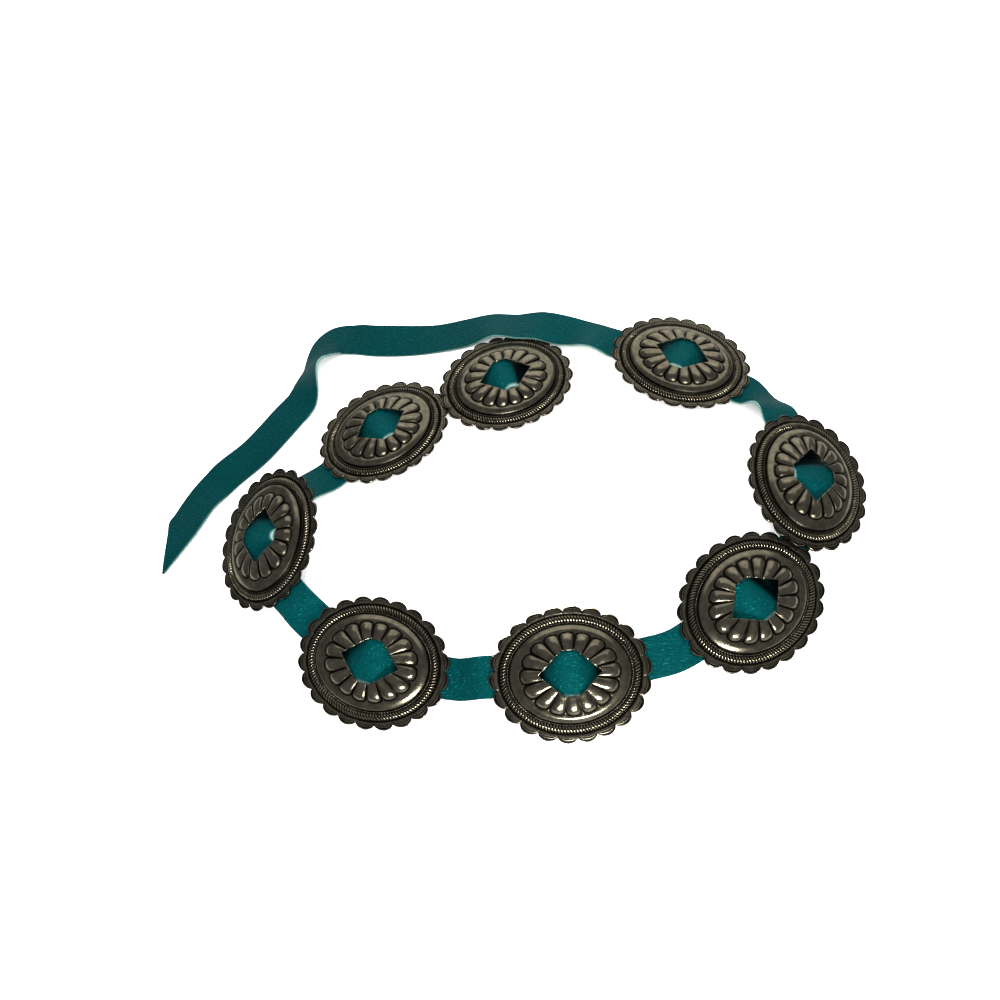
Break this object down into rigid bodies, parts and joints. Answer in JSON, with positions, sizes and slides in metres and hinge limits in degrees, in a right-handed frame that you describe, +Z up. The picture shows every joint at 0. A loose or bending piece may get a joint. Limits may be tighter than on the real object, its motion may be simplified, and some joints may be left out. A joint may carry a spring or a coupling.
{
  "type": "western belt",
  "caption": "Western belt: scalloped oval stamped-silver conchos threaded on a teal leather strap, lying in a loop with a long free pointed tail.",
  "frame": {"origin": "on the floor, under the middle of the belt's bounding box", "axes": "+X along the belt's longest extent with the free tail's cut end toward -X, +Y from the front conchos to the tail, +Z up"},
  "size_m": [0.3837, 0.283, 0.0256],
  "materials": {
    "concho_1": "antiqued silver, stamped, dark in the recesses",
    "concho_2": "antiqued silver, stamped, dark in the recesses",
    "concho_3": "antiqued silver, stamped, dark in the recesses",
    "concho_4": "antiqued silver, stamped, dark in the recesses",
    "concho_5": "antiqued silver, stamped, dark in the recesses",
    "concho_6": "antiqued silver, stamped, dark in the recesses",
    "concho_7": "antiqued silver, stamped, dark in the recesses",
    "concho_8": "antiqued silver, stamped, dark in the recesses",
    "strap": "dyed teal grain leather with pale raw edges and back"
  },
  "bodies": {
    "root": {"concho_1": "concho_1", "concho_2": "concho_2", "concho_3": "concho_3", "concho_4": "concho_4", "concho_5": "concho_5", "concho_6": "concho_6", "concho_7": "concho_7", "concho_8": "concho_8", "strap": "strap"}
  },
  "joints": []
}
